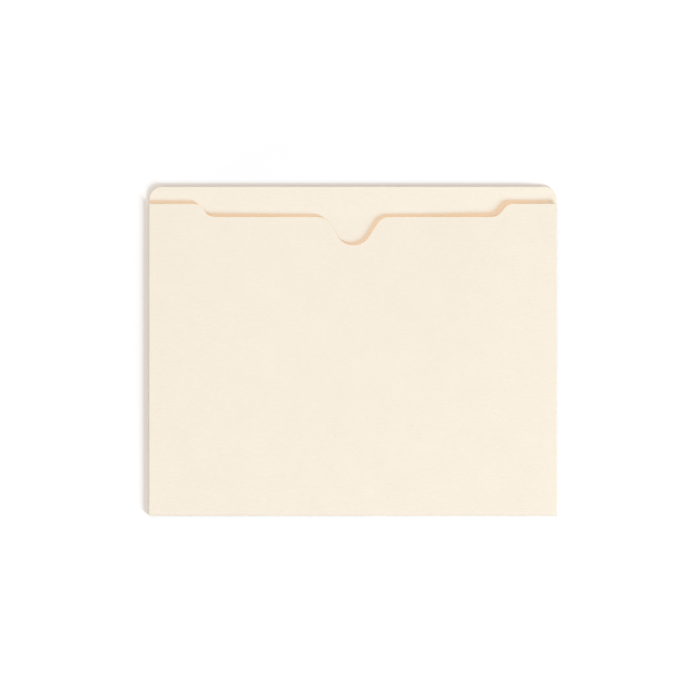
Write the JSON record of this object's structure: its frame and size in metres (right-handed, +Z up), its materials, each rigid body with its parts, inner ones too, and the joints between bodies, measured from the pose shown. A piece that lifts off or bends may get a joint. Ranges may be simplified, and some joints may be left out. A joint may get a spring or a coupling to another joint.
{
  "type": "file jacket",
  "caption": "Letter-size manila file jacket: a flat card pocket closed on the sides and bottom, with a reinforced straight tab, shouldered front edge, thumb notch and folding side gussets.",
  "frame": {"origin": "under the middle of the back panel, on the surface that the jacket lies on", "axes": "+X to the right along the tab, +Y from the bottom crease towards the tab, +Z up out of the front panel"},
  "size_m": [0.2984, 0.2413, 0.0025],
  "materials": {
    "manila_card": "matte",
    "dried_glue": "satin"
  },
  "bodies": {
    "back": {"back_panel": "manila_card", "tab_ply": "manila_card", "tab_fold": "manila_card", "tab_glue": "dried_glue", "bottom_fold": "manila_card", "left_rear_fold": "manila_card", "right_rear_fold": "manila_card"},
    "front": {"front_panel": "manila_card", "left_glue_flap": "manila_card", "right_glue_flap": "manila_card", "left_seam_glue": "dried_glue", "right_seam_glue": "dried_glue", "left_front_fold": "manila_card", "right_front_fold": "manila_card"},
    "left_gusset_rear": {"left_rear_leaf": "manila_card", "left_mid_fold": "manila_card"},
    "right_gusset_rear": {"right_rear_leaf": "manila_card", "right_mid_fold": "manila_card"},
    "left_gusset_front": {"left_front_leaf": "manila_card"},
    "right_gusset_front": {"right_front_leaf": "manila_card"}
  },
  "joints": [
    {"name": "front_hinge", "type": "hinge", "parent": "back", "child": "front", "pos_m": [0, -0.11941, 0.00124], "axis": [1, 0, 0], "range_deg": [0, 8]},
    {"name": "left_rear_hinge", "type": "hinge", "parent": "back", "child": "left_gusset_rear", "pos_m": [-0.14866, 0, 0.00057], "axis": [0, -1, 0], "range_deg": [0, 35.5]},
    {"name": "right_rear_hinge", "type": "hinge", "parent": "back", "child": "right_gusset_rear", "pos_m": [0.14866, 0, 0.00057], "axis": [0, 1, 0], "range_deg": [0, 35.5]},
    {"name": "left_front_hinge", "type": "hinge", "parent": "front", "child": "left_gusset_front", "pos_m": [-0.14885, 0, 0.00172], "axis": [0, 1, 0], "range_deg": [0, 35.5]},
    {"name": "right_front_hinge", "type": "hinge", "parent": "front", "child": "right_gusset_front", "pos_m": [0.14885, 0, 0.00172], "axis": [0, -1, 0], "range_deg": [0, 35.5]}
  ],
  "couplings": [
    {"joint": "left_rear_hinge", "follows": "front_hinge", "ratio": 4.4},
    {"joint": "right_rear_hinge", "follows": "front_hinge", "ratio": 4.4},
    {"joint": "left_front_hinge", "follows": "front_hinge", "ratio": 4.4},
    {"joint": "right_front_hinge", "follows": "front_hinge", "ratio": 4.4}
  ]
}
